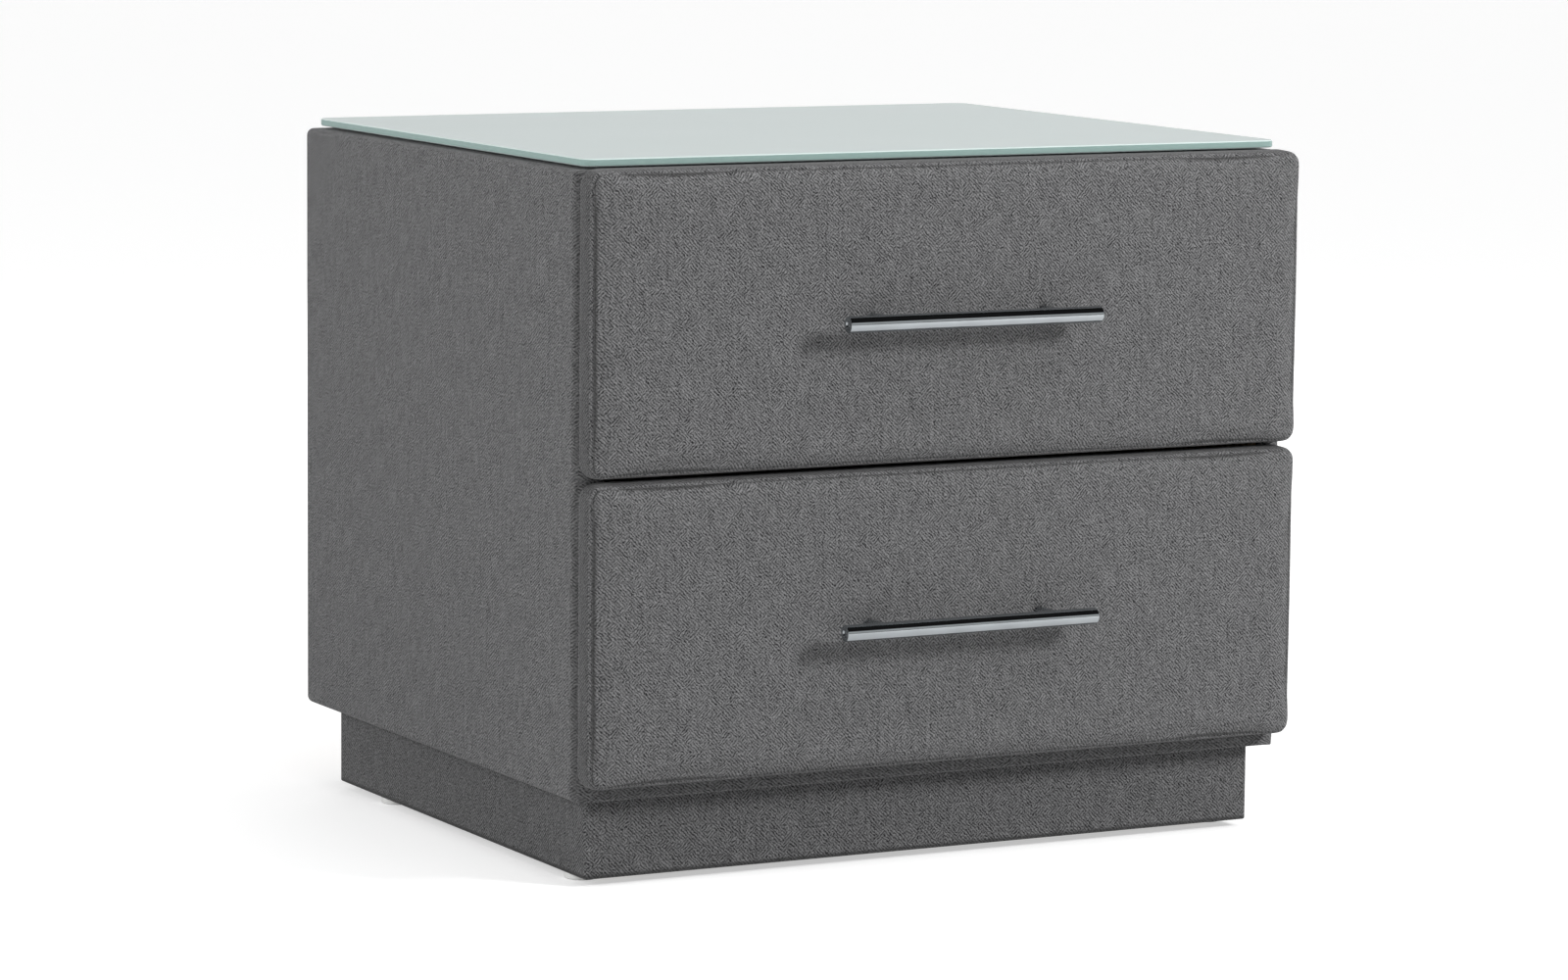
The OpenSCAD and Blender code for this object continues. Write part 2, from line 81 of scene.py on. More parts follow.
# %% Place the camera
CAMERA_PLACE = (-1.8217, -3.4198, 0.7258)
CAMERA_YAW, CAMERA_PITCH, CAMERA_ROLL = 27.88, 7.39, 0.53
camera_data = bpy.data.cameras.new("camera")
camera_data.lens = 130.71
camera_data.sensor_width = 36
camera = bpy.data.objects.new("camera", camera_data)
bpy.context.scene.collection.objects.link(camera)
turn = Matrix.Rotation(-math.radians(CAMERA_YAW), 4, "Z")
tip = Matrix.Rotation(math.radians(90 - CAMERA_PITCH), 4, "X")
roll = Matrix.Rotation(math.radians(CAMERA_ROLL), 4, "Z")
camera.matrix_world = Matrix.Translation(CAMERA_PLACE) @ turn @ tip @ roll
bpy.context.scene.camera = camera
print("camera looks from", CAMERA_PLACE, "with a lens of", round(camera_data.lens, 2))

# %% [markdown]
# ## Small helpers for modelling
# An operator works on whatever is selected, so every helper starts by selecting one piece and
# nothing else. Faces and edges are then picked by a test on their place or direction, which
# keeps working when the size of the cabinet changes.

# %% Hold one piece, and start new ones
def hold(piece):
    """Makes this piece the only selected object."""
    if bpy.context.object and bpy.context.object.mode != "OBJECT":
        bpy.ops.object.mode_set(mode="OBJECT")
    bpy.ops.object.select_all(action="DESELECT")
    piece.select_set(True)
    bpy.context.view_layer.objects.active = piece


def settle(piece):
    """Moves a piece's place, turn and scale into its mesh."""
    hold(piece)
    bpy.ops.object.transform_apply(location=True, rotation=True, scale=True)
    return piece


def add_block(name, low, high):
    """A cube between two corners, as the start of a piece."""
    bpy.ops.object.select_all(action="DESELECT")
    low, high = Vector(low), Vector(high)
    bpy.ops.mesh.primitive_cube_add(size=1, location=(low + high) / 2)
    piece = bpy.context.object
    piece.name = name
    piece.scale = high - low
    return settle(piece)


def add_rod(name, start, end, radius, sides=48):
    """A round bar between two points."""
    bpy.ops.object.select_all(action="DESELECT")
    start, end = Vector(start), Vector(end)
    turned = (end - start).to_track_quat("Z", "Y").to_euler()
    bpy.ops.mesh.primitive_cylinder_add(
        vertices=sides, radius=radius, depth=(end - start).length,
        location=(start + end) / 2, rotation=turned)
    piece = bpy.context.object
    piece.name = name
    return settle(piece)


# %% Pick edges and faces, bevel and cut
def pick(piece, kind, test):
    """Goes into edit mode with only the edges or faces that pass the test selected."""
    hold(piece)
    bpy.ops.object.mode_set(mode="EDIT")
    bpy.ops.mesh.select_mode(type=kind)
    bpy.ops.mesh.select_all(action="DESELECT")
    mesh = bmesh.from_edit_mesh(piece.data)
    for item in mesh.edges if kind == "EDGE" else mesh.faces:
        if test(item):
            item.select_set(True)
    bmesh.update_edit_mesh(piece.data)


def bevel_edges(piece, test, width, segments):
    """Rounds the edges that pass the test."""
    pick(piece, "EDGE", test)
    bpy.ops.mesh.bevel(offset=width, segments=segments, affect="EDGES")
    bpy.ops.object.mode_set(mode="OBJECT")


def runs_along(edge, axis):
    way = (edge.verts[1].co - edge.verts[0].co).normalized()
    return abs(way[axis]) > 0.999


def fold_angle(edge):
    return math.degrees(edge.calc_face_angle(0))


def cut(piece, tool):
    """Takes the tool's shape out of the piece and removes the tool."""
    hold(piece)
    step = piece.modifiers.new("cut", "BOOLEAN")
    step.operation = "DIFFERENCE"
    step.object = tool
    bpy.ops.object.modifier_apply(modifier=step.name)
    bpy.data.objects.remove(tool, do_unlink=True)


def mesh_copy(piece, name, shift=(0, 0, 0)):
    """A copy with its own mesh, moved by a shift."""
    twin = piece.copy()
    twin.data = piece.data.copy()
    twin.name = name
    bpy.context.scene.collection.objects.link(twin)
    twin.data.transform(Matrix.Translation(shift))
    return twin


# %% Finish a piece
def finish_piece(piece, body, materials, replaced=(), smooth=35):
    """Shades a piece, gives it its materials, and lets it ride on its body."""
    hold(piece)
    bpy.ops.object.shade_smooth_by_angle(angle=math.radians(smooth))
    for material in materials:
        piece.data.materials.append(material)
    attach(piece, body)
    if replaced:
        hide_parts(*replaced)
    print(f"{piece.name}: {len(piece.data.polygons)} faces on {body}")
    return piece


# %% [markdown]
# ## Building materials with nodes
# Each material is a small program of nodes. Three helpers keep it short: one adds a node with
# its inputs, one does arithmetic, and one starts a shared group. A group only hands out
# colours, values and heights. The shader itself always stays in the material.

# %% Node helpers
def add_node(tree, kind, inputs=None, **settings):
    node = tree.nodes.new(kind)
    for key, value in settings.items():
        setattr(node, key, value)
    for key, value in (inputs or {}).items():
        if isinstance(value, bpy.types.NodeSocket):
            tree.links.new(value, node.inputs[key])
        else:
            node.inputs[key].default_value = value
    return node


def calc(tree, operation, a, b=0.0, c=0.0):
    """The result of one arithmetic node."""
    return add_node(tree, "ShaderNodeMath", {0: a, 1: b, 2: c}, operation=operation).outputs[0]


def blend_value(tree, share, low, high):
    """low where share is 0, and high where it is 1."""
    return add_node(tree, "ShaderNodeMix", {0: share, 2: low, 3: high}).outputs[0]


def blend_colour(tree, share, low, high):
    node = add_node(tree, "ShaderNodeMix", {0: share, 6: low, 7: high}, data_type="RGBA")
    return node.outputs[2]


def stretched(tree, place, scale):
    """A place multiplied along each axis, which stretches the pattern that reads it."""
    node = add_node(tree, "ShaderNodeVectorMath", {0: place, 1: scale}, operation="MULTIPLY")
    return node.outputs[0]


def noise(tree, place, scale, detail=2.0, roughness=0.5):
    node = add_node(tree, "ShaderNodeTexNoise",
                    {"Vector": place, "Scale": scale, "Detail": detail, "Roughness": roughness})
    return node.outputs[0]


def spread(tree, value, low, high):
    """Stretches the range low to high to 0 to 1, and clips the rest."""
    node = add_node(tree, "ShaderNodeMapRange", {"Value": value, "From Min": low, "From Max": high})
    return node.outputs[0]


def start_group(name, inputs, outputs):
    tree = bpy.data.node_groups.new(name, "ShaderNodeTree")
    for label, kind, value in inputs:
        socket = tree.interface.new_socket(label, in_out="INPUT", socket_type=kind)
        if value is not None:
            socket.default_value = value
    for label, kind in outputs:
        tree.interface.new_socket(label, in_out="OUTPUT", socket_type=kind)
    return tree, tree.nodes.new("NodeGroupInput").outputs, tree.nodes.new("NodeGroupOutput")


def use_group(tree, group, inputs):
    node = tree.nodes.new("ShaderNodeGroup")
    node.node_tree = group
    for key, value in inputs.items():
        if isinstance(value, bpy.types.NodeSocket):
            tree.links.new(value, node.inputs[key])
        else:
            node.inputs[key].default_value = value
    return node.outputs


def start_material(name, **values):
    """A new material with its shader, whose plain values are set on the shader's sockets."""
    material = bpy.data.materials.new(name)
    material.use_nodes = True
    tree = material.node_tree
    shader = tree.nodes["Principled BSDF"]
    for key, value in values.items():
        shader.inputs[key.replace("_", " ")].default_value = value
    return material, tree, shader


def bumped(tree, shader, height, strength, distance):
    node = add_node(tree, "ShaderNodeBump",
                    {"Height": height, "Strength": strength, "Distance": distance})
    tree.links.new(node.outputs[0], shader.inputs["Normal"])


# %% [markdown]
# ## The upholstery fabric
# The cloth is a plain weave of melange yarn, a mix of light and dark grey fibres. Up close it
# is a chequer of yarn crossings, which is two sets of slanted waves laid together. Where
# one diagonal of the chequer is stronger than the other, the eye sees short slanted ticks, and
# slow noise moves that balance about. Stretched noise stands for the single yarns, and fine
# noise for their fibres. The pattern is laid out in metres on each piece's own weave map.

# %% Make the weave group
weave, weave_in, weave_out = start_group(
    "melange_weave",
    [("Place", "NodeSocketVector", None), ("Pitch", "NodeSocketFloat", 0.0014),
     ("Contrast", "NodeSocketFloat", 1.0)],
    [("Tone", "NodeSocketFloat"), ("Height", "NodeSocketFloat")])


def centred(tree, value, weight):
    """A pattern value from 0 to 1 moved to swing about 0, times its weight."""
    return calc(tree, "MULTIPLY", calc(tree, "SUBTRACT", value, 0.5), weight)


def make_weave(tree, place, pitch, contrast):
    parts = add_node(tree, "ShaderNodeSeparateXYZ", {0: place}).outputs
    drift = add_node(tree, "ShaderNodeTexNoise",
                     {"Vector": place, "Scale": 330.0, "Detail": 2.0}).outputs[1]
    drift = add_node(tree, "ShaderNodeSeparateXYZ", {0: drift}).outputs
    across = calc(tree, "ADD", calc(tree, "DIVIDE", parts[0], pitch),
                  centred(tree, drift[0], 2.1))
    along = calc(tree, "ADD", calc(tree, "DIVIDE", parts[1], pitch),
                 centred(tree, drift[1], 2.1))
    rising = calc(tree, "MULTIPLY", calc(tree, "SUBTRACT", across, along), math.pi)
    falling = calc(tree, "MULTIPLY", calc(tree, "ADD", across, along), math.pi)
    balance = spread(tree, noise(tree, place, 110, 2), 0.38, 0.50)
    ticks = blend_value(tree, balance, calc(tree, "COSINE", rising),
                        calc(tree, "COSINE", falling))
    strength = blend_value(tree, noise(tree, place, 210, 2), 0.04, 0.58)
    tone = calc(tree, "MULTIPLY", ticks, strength)
    for stretch, scale, weight in (
            ((1.0, 0.12, 1.0), 430, 0.42), ((0.2, 1.0, 1.0), 620, 0.45),
            ((1.0, 1.0, 1.0), 760, 1.35), ((1.0, 1.0, 1.0), 45, 0.07)):
        yarn = noise(tree, stretched(tree, place, stretch), scale, 1)
        tone = calc(tree, "ADD", tone, centred(tree, yarn, weight))
    tone = calc(tree, "MULTIPLY_ADD", tone, contrast, 0.5)
    height = calc(tree, "MULTIPLY_ADD", ticks, 0.5, 0.5)
    height = calc(tree, "ADD", height, calc(tree, "MULTIPLY", noise(tree, place, 1500, 2), 0.4))
    return tone, height


tone_socket, height_socket = make_weave(weave, weave_in["Place"], weave_in["Pitch"],
                                        weave_in["Contrast"])
weave.links.new(tone_socket, weave_out.inputs["Tone"])
weave.links.new(height_socket, weave_out.inputs["Height"])


# %% Make the fabric materials
def painted_shade_mask(tree, axis, centre, half):
    """1 on the band of painted shade across the piece and 0 beyond it, with soft edges."""
    along = add_node(tree, "ShaderNodeSeparateXYZ", {0: object_place(tree)}).outputs[axis]
    away = calc(tree, "ABSOLUTE", calc(tree, "SUBTRACT", along, centre))
    return spread(tree, away, half, half * 0.1)


def fabric_material(name, middle, pitch, contrast, pull=1.0, band=None):
    """Cloth whose yarns run from nearly black to twice the middle grey, with one band of painted
    shade.
    """
    material, tree, shader = start_material(
        name, Roughness=0.92, Specular_IOR_Level=0.18, Sheen_Weight=0.10, Sheen_Roughness=0.5)
    place = add_node(tree, "ShaderNodeUVMap", uv_map="weave").outputs[0]
    place = stretched(tree, place, (pull, 1.0, 1.0))
    out = use_group(tree, weave, {"Place": place, "Pitch": pitch, "Contrast": contrast})
    share = spread(tree, out["Tone"], 0.0, 1.0)
    dark = [middle * part for part in (0.10, 0.10, 0.11)] + [1]
    light = [middle * part for part in (1.90, 1.90, 1.93)] + [1]
    colour = blend_colour(tree, share, dark, light)
    # Painted shade: the band darkens the cloth towards a third of its middle grey, where shade falls.
    if band:
        axis, centre, half, depth = band
        painted_shade = calc(tree, "MULTIPLY", painted_shade_mask(tree, axis, centre, half), depth)
        colour = blend_colour(tree, painted_shade, colour, [middle * 0.3] * 3 + [1])
    tree.links.new(colour, shader.inputs["Base Color"])
    bumped(tree, shader, out["Height"], 0.35, 0.0003)
    return material


def object_place(tree):
    return add_node(tree, "ShaderNodeTexCoord").outputs["Object"]


def lay_weave(piece):
    """Lays the weave map, in metres, flat on each face along the axis it looks along most."""
    layer = piece.data.uv_layers.new(name="weave")
    points = piece.data.vertices
    for face in piece.data.polygons:
        sizes = [abs(part) for part in face.normal]
        axis = sizes.index(max(sizes))
        first, second = ((1, 2), (0, 2), (0, 1))[axis]
        for loop in face.loop_indices:
            place = points[piece.data.loops[loop].vertex_index].co
            layer.data[loop].uv = (place[first], place[second])


FACE_SHY = 1.4 * MM
SEAM_BACK = 3.2 * MM
front_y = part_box("side_cover_left")[0].y
seam_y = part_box("lower_front_cover")[0].y + FACE_SHY + SEAM_BACK
# Height of the band of painted shade along the plinth's lower edge, where the cloth turns under.
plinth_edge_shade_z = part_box("plinth_cover")[0].z + 1.6 * MM
# grey_fabric and the strip cloth carry a thin line of painted shade along each pad's seam groove.
grey_fabric = fabric_material("grey_fabric", 0.100, 0.00125, 1.0,
                              band=(1, seam_y, 0.9 * MM, 0.8))
# side_fabric has a band of painted shade near the carcass's front edge, where the cloth turns into
# the gap beside the fronts.
side_fabric = fabric_material("side_fabric", 0.107, 0.00115, 0.95, pull=0.7,
                              band=(1, front_y + 3.5 * MM, 5.5 * MM, 0.45))
# The plinth gets a darker copy of the fabric, as painted shade under the carcass, with the band of
# painted shade at its lower edge.
plinth_cloth_painted_shade = fabric_material("plinth_cloth_painted_shade", 0.089, 0.0013, 1.05,
                               band=(2, plinth_edge_shade_z, 2.1 * MM, 0.8))
# The pads' side strips get a darker copy of the fabric, as painted shade in the fold between the
# carcass and the face.
strip_cloth_painted_shade = fabric_material("strip_cloth_painted_shade", 0.076, 0.00125, 0.8,
                              band=(1, seam_y, 0.9 * MM, 0.8))

# %% [markdown]
# ## Boards, metal, glass and plastic
# The hidden side of furniture is raw chipboard, with long pale flakes in brown glue, and the
# drawer boxes are faced with a pale foil that has a faint linen grain. Chrome is a mirror with
# very fine wear. The glass is etched, so it scatters light and looks milky, while its ground
# edge shows the green of the glass.

# %% Make the board materials
def chipboard_material():
    material, tree, shader = start_material("chipboard", Roughness=0.8, Specular_IOR_Level=0.25)
    place = object_place(tree)
    bent = add_node(tree, "ShaderNodeVectorMath",
                    {0: place, 1: stretched(tree, add_node(
                        tree, "ShaderNodeTexNoise", {"Vector": place, "Scale": 90.0}).outputs[1],
                        (0.004, 0.004, 0.004))}, operation="ADD").outputs[0]
    flakes = add_node(tree, "ShaderNodeTexVoronoi",
                      {"Vector": bent, "Scale": 330.0})
    flake_tone = add_node(tree, "ShaderNodeSeparateColor", {0: flakes.outputs["Color"]}).outputs[0]
    colour = blend_colour(tree, flake_tone, (0.34, 0.22, 0.12, 1), (0.66, 0.51, 0.32, 1))
    dust = spread(tree, noise(tree, place, 900, 2), 0.3, 0.7)
    colour = blend_colour(tree, calc(tree, "MULTIPLY", dust, 0.35), colour, (0.50, 0.38, 0.24, 1))
    tree.links.new(colour, shader.inputs["Base Color"])
    bumped(tree, shader, flakes.outputs["Distance"], 0.3, 0.0004)
    return material


def foil_material():
    material, tree, shader = start_material("linen_foil", Specular_IOR_Level=0.4)
    place = object_place(tree)
    rows = noise(tree, stretched(tree, place, (0.05, 0.05, 1.0)), 900, 2)
    columns = noise(tree, stretched(tree, place, (1.0, 1.0, 0.05)), 900, 2)
    linen = calc(tree, "MULTIPLY_ADD", calc(tree, "ADD", rows, columns), 0.5, 0.0)
    clouds = noise(tree, place, 9, 2)
    share = calc(tree, "ADD", spread(tree, linen, 0.3, 0.7), calc(tree, "MULTIPLY", clouds, 0.3))
    colour = blend_colour(tree, calc(tree, "MULTIPLY", share, 0.6), (0.60, 0.59, 0.56, 1),
                          (0.74, 0.73, 0.70, 1))
    tree.links.new(colour, shader.inputs["Base Color"])
    tree.links.new(blend_value(tree, clouds, 0.38, 0.52), shader.inputs["Roughness"])
    bumped(tree, shader, linen, 0.2, 0.0001)
    return material


def hardboard_material():
    material, tree, shader = start_material("hardboard", Specular_IOR_Level=0.35)
    place = object_place(tree)
    fibres = noise(tree, stretched(tree, place, (1.0, 1.0, 0.45)), 520, 4, 0.65)
    clouds = noise(tree, place, 14, 3)
    colour = blend_colour(tree, spread(tree, fibres, 0.3, 0.7), (0.12, 0.068, 0.034, 1),
                          (0.27, 0.165, 0.09, 1))
    colour = blend_colour(tree, calc(tree, "MULTIPLY", clouds, 0.35), colour, (0.20, 0.12, 0.06, 1))
    tree.links.new(colour, shader.inputs["Base Color"])
    tree.links.new(blend_value(tree, clouds, 0.40, 0.58), shader.inputs["Roughness"])
    bumped(tree, shader, fibres, 0.15, 0.0002)
    return material


chipboard = chipboard_material()
foil = foil_material()
hardboard = hardboard_material()


# %% Make the metals
def metal_material(name, colour, rough_low, rough_high, grain_scale, bump, stretch=(1, 1, 1)):
    material, tree, shader = start_material(name, Metallic=1.0)
    place = object_place(tree)
    grain = noise(tree, stretched(tree, place, stretch), grain_scale, 3, 0.6)
    smears = noise(tree, place, 45, 3)
    shade = [part * 0.88 for part in colour[:3]] + [1]
    tree.links.new(blend_colour(tree, spread(tree, smears, 0.3, 0.7), shade, colour),
                   shader.inputs["Base Color"])
    share = calc(tree, "MULTIPLY", calc(tree, "ADD", grain, smears), 0.5)
    tree.links.new(blend_value(tree, spread(tree, share, 0.35, 0.65), rough_low, rough_high),
                   shader.inputs["Roughness"])
    bumped(tree, shader, grain, bump, 0.0001)
    return material


chrome = metal_material("chrome", (0.46, 0.49, 0.51, 1), 0.03, 0.08, 300, 0.02)
zinc = metal_material("zinc_steel", (0.62, 0.635, 0.65, 1), 0.24, 0.44, 420, 0.08, (1, 0.1, 1))


# %% Make the glass and the plastics
def etched_glass_material():
    material, tree, shader = start_material(
        "etched_glass", IOR=1.5, Transmission_Weight=0.35, Specular_IOR_Level=0.5)
    place = object_place(tree)
    etch = noise(tree, place, 2600, 2)
    clouds = noise(tree, place, 6, 2)
    tree.links.new(blend_colour(tree, clouds, (0.465, 0.535, 0.53, 1), (0.50, 0.57, 0.56, 1)),
                   shader.inputs["Base Color"])
    tree.links.new(blend_value(tree, clouds, 0.36, 0.44), shader.inputs["Roughness"])
    bumped(tree, shader, etch, 0.06, 0.0001)
    return material


def edge_glass_material(name, dark, light):
    material, tree, shader = start_material(
        name, IOR=1.5, Transmission_Weight=0.25, Specular_IOR_Level=0.5)
    place = object_place(tree)
    grind = noise(tree, stretched(tree, place, (0.08, 0.08, 1.0)), 1800, 2)
    tree.links.new(blend_colour(tree, grind, dark, light), shader.inputs["Base Color"])
    tree.links.new(blend_value(tree, grind, 0.12, 0.26), shader.inputs["Roughness"])
    bumped(tree, shader, grind, 0.05, 0.0001)
    return material


def plastic_material(name, dark, light, roughness, **values):
    material, tree, shader = start_material(name, **values)
    place = object_place(tree)
    cast = noise(tree, place, 700, 3)
    clouds = noise(tree, place, 60, 2)
    tree.links.new(blend_colour(tree, clouds, dark, light), shader.inputs["Base Color"])
    tree.links.new(blend_value(tree, cast, roughness - 0.06, roughness + 0.06),
                   shader.inputs["Roughness"])
    bumped(tree, shader, cast, 0.08, 0.0001)
    return material


etched_glass = etched_glass_material()
glass_edge = edge_glass_material("glass_edge", (0.27, 0.40, 0.375, 1), (0.36, 0.50, 0.47, 1))
# The arris glass is pale ground glass painted lighter still, which paints the highlight along the
# glass's edges.
arris_glass_painted_highlight = edge_glass_material("arris_glass_painted_highlight", (0.62, 0.74, 0.72, 1), (0.74, 0.84, 0.82, 1))
glide_plastic = plastic_material("glide_plastic", (0.74, 0.74, 0.73, 1), (0.82, 0.82, 0.81, 1), 0.45)
clear_plastic = plastic_material("clear_bumper", (0.72, 0.76, 0.76, 1), (0.80, 0.83, 0.83, 1), 0.22,
                                 Transmission_Weight=0.7, IOR=1.45)
print(len(bpy.data.materials), "materials made")

# %% [markdown]
# ## The carcass fabric
# Foam and fabric wrap the whole box and fold round its front edges. It could be four sheets,
# but the eye sees one soft skin, so it is one block: every edge is rounded, and then the
# boards and the open inside are cut out of it, which leaves an even skin.

# %% Measure the carcass
carcass_low = Vector(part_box("side_cover_left")[0])
carcass_high = Vector(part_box("side_cover_right")[1])
board_low = Vector(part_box("side_panel_left")[0])
board_high = Vector(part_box("side_panel_right")[1])
inside_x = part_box("bottom_panel")[1].x
inside_z = (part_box("bottom_panel")[1].z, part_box("top_panel")[0].z)
EDGE_SOFT = 5 * MM
FRONT_SOFT = 8 * MM
SILL_SOFT = 1.5 * MM
print("carcass", [round(v, 4) for v in (*carcass_low, *carcass_high)])

# %% Make the carcass fabric
carcass_fabric = add_block("carcass_fabric", carcass_low, carcass_high)
bevel_edges(
    carcass_fabric, lambda edge: runs_along(edge, 2)
    and abs(edge.verts[0].co.y - carcass_low.y) < 0.01 * MM, FRONT_SOFT, 10)

def on_sill(edge):
    """The lower front edge, where the cloth is pulled tight over the board."""
    return all(abs(v.co.y - carcass_low.y) < 0.1 * MM
               and abs(v.co.z - carcass_low.z) < 0.1 * MM for v in edge.verts)


bevel_edges(carcass_fabric, on_sill, SILL_SOFT, 4)
bevel_edges(carcass_fabric, lambda edge: fold_angle(edge) > 30 and not any(
    v.co.y < carcass_low.y + SILL_SOFT + 0.1 * MM and v.co.z < carcass_low.z + 0.1 * MM
    or v.co.y < carcass_low.y + 0.1 * MM and v.co.z < carcass_low.z + SILL_SOFT + 0.1 * MM
    for v in edge.verts), EDGE_SOFT, 8)
cut(carcass_fabric, add_block("boards", board_low, board_high))
cut(carcass_fabric, add_block(
    "inside", (-inside_x, carcass_low.y - 0.02, inside_z[0]),
    (inside_x, carcass_high.y + 0.02, inside_z[1])))


def on_opening(edge):
    """The sharp rim of the front opening, where the fabric turns in against the boards."""
    return (fold_angle(edge) > 60
            and all(abs(v.co.y - carcass_low.y) < 0.1 * MM for v in edge.verts))


OPENING_SOFT = 1.2 * MM
bevel_edges(carcass_fabric, on_opening, OPENING_SOFT, 3)
lay_weave(carcass_fabric)
finish_piece(carcass_fabric, "carcass", [side_fabric],
             ["side_cover_left", "side_cover_right", "top_cover", "bottom_cover"])

# %% [markdown]
# ## The plinth fabric
# The same cloth is stretched round the plinth and stapled under its lower edge. Here it is
# painted darker, as shade under the carcass, with a band of painted shade along the lower
# edge. Its corners are small, because the boards below are hard.

# %% Make the plinth fabric
plinth_low, plinth_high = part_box("plinth_cover")
plinth_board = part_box("plinth_front")
plinth_in = plinth_board[0].x - plinth_low.x
core_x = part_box("plinth_left")[1].x
core_y = (plinth_board[1].y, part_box("plinth_back")[0].y)
plinth_fabric = add_block("plinth_fabric", plinth_low, plinth_high)
PLINTH_CORNER, PLINTH_TURN = 3 * MM, 1.4 * MM
bevel_edges(plinth_fabric, lambda edge: runs_along(edge, 2), PLINTH_CORNER, 5)
bevel_edges(
    plinth_fabric,
    lambda edge: all(abs(v.co.z - plinth_low.z) < 0.01 * MM for v in edge.verts)
    and fold_angle(edge) > 60, PLINTH_TURN, 4)
cut(plinth_fabric, add_block(
    "boards", (plinth_low.x + plinth_in, plinth_low.y + plinth_in, plinth_board[0].z),
    (plinth_high.x - plinth_in, plinth_high.y - plinth_in, plinth_high.z + 0.01)))
cut(plinth_fabric, add_block(
    "hollow", (core_x, core_y[0], plinth_low.z - 0.01), (-core_x, core_y[1], plinth_high.z)))
lay_weave(plinth_fabric)
finish_piece(plinth_fabric, "carcass", [plinth_cloth_painted_shade], ["plinth_cover"])

# %% [markdown]
# ## The padded drawer fronts
# A thin foam pad and a sewn cover go over each front board. Cloth simulation gives the skin
# its natural tension: the shape starts a little thin, air pressure blows it out, and a cap
# keeps it close to its board. The back stays pinned, as it is stapled there, and the side
# strip hardly gives, as it is glued to the board's edge, so the pad swells forwards. Both fronts are
# the same size, so it is done once and copied.

# %% Shape the pad
pad_low, pad_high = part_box("lower_front_cover")
front_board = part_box("lower_front_board")
PAD_CORNER = 11 * MM
FACE_ROUND = 5 * MM
PAD_SHY = 1.0 * MM
PAD_CAP = 2.2 * MM
SIDE_GIVE = 0.1
VOXEL = 3.5 * MM
BACK_SHY = 0.3 * MM
pad_back = front_board[1].y - BACK_SHY
face_y = pad_low.y + FACE_SHY
pad = add_block("lower_pad",
                (pad_low.x + PAD_SHY, face_y, pad_low.z + PAD_SHY),
                (pad_high.x - PAD_SHY, pad_back, pad_high.z - PAD_SHY))
bevel_edges(pad, lambda edge: runs_along(edge, 1), PAD_CORNER - PAD_SHY, 8)
bevel_edges(
    pad, lambda edge: all(abs(v.co.y - face_y) < 0.01 * MM for v in edge.verts)
    and fold_angle(edge) > 60, FACE_ROUND, 6)


# %% Blow it out as cloth
def remesh(piece, size):
    hold(piece)
    piece.data.remesh_voxel_size = size
    bpy.ops.object.voxel_remesh()


def inflate(piece, pinned, pressure, cap, frames=20):
    """Cloth with pressure and no gravity, whose points may move no further than the cap."""
    start = [vertex.co.copy() for vertex in piece.data.vertices]
    group = piece.vertex_groups.new(name="pinned")
    group.add([v.index for v in piece.data.vertices if pinned(v.co)], 1.0, "ADD")
    step = piece.modifiers.new("cloth", "CLOTH")
    step.settings.quality = 6
    step.settings.mass = 0.3
    step.settings.tension_stiffness = 30
    step.settings.compression_stiffness = 20
    step.settings.shear_stiffness = 10
    step.settings.bending_stiffness = 2
    step.settings.use_pressure = True
    step.settings.uniform_pressure_force = pressure
    step.settings.vertex_group_mass = "pinned"
    step.settings.effector_weights.gravity = 0
    for number in range(1, frames + 1):
        bpy.context.scene.frame_set(number)
    hold(piece)
    bpy.ops.object.modifier_apply(modifier=step.name)
    bpy.context.scene.frame_set(1)
    furthest = 0
    for vertex, before in zip(piece.data.vertices, start):
        move = vertex.co - before
        move.x *= SIDE_GIVE
        move.z *= SIDE_GIVE
        vertex.co = before + move
        furthest = max(furthest, move.length)
        if move.length > cap:
            vertex.co = before + move.normalized() * cap
    piece.vertex_groups.clear()
    print(f"{piece.name}: cloth moved up to {furthest / MM:.1f} mm, capped at {cap / MM:.1f} mm")


def smooth_mesh(piece, rounds):
    pick(piece, "FACE", lambda face: face.calc_center_median().y < pad_back - 4 * MM)
    bpy.ops.mesh.vertices_smooth(factor=0.5, repeat=rounds)
    bpy.ops.object.mode_set(mode="OBJECT")


remesh(pad, VOXEL)
inflate(pad, lambda place: place.y > pad_back - 5 * MM, 4.0, PAD_CAP)
smooth_mesh(pad, 2)
hold(pad)
detail = pad.modifiers.new("detail", "SUBSURF")
detail.levels = detail.render_levels = 1
bpy.ops.object.modifier_apply(modifier=detail.name)
print("pad has", len(pad.data.vertices), "points")


# %% [markdown]
# ## Fit the pad to its space
# Pressure and smoothing leave the pad a little off the planned size, so it is stretched back
# to the exact space that the frame keeps for it. Its sides and face then line up with the
# carcass, as they do on the real cabinet.

# %% Stretch the pad to its space
def fit_to(piece, low, high):
    """Stretches a piece along each axis so that it fills the space between two corners."""
    points = piece.data.vertices
    for axis in range(3):
        values = [vertex.co[axis] for vertex in points]
        least, most = min(values), max(values)
        stretch = (high[axis] - low[axis]) / (most - least)
        for vertex in points:
            vertex.co[axis] = low[axis] + (vertex.co[axis] - least) * stretch
        print(f"{piece.name} axis {axis}: stretched by {stretch:.4f}")


fit_to(pad, pad_low, (pad_high.x, pad_back, pad_high.z))

# %% [markdown]
# ## Seams and dimples
# The face panel is sewn to a side strip, and the seam sinks into the foam as a fine groove
# that follows the rounded corners. The distance from a point to a rounded rectangle tells how
# near it is to the seam. The handle posts press small dimples into the face.

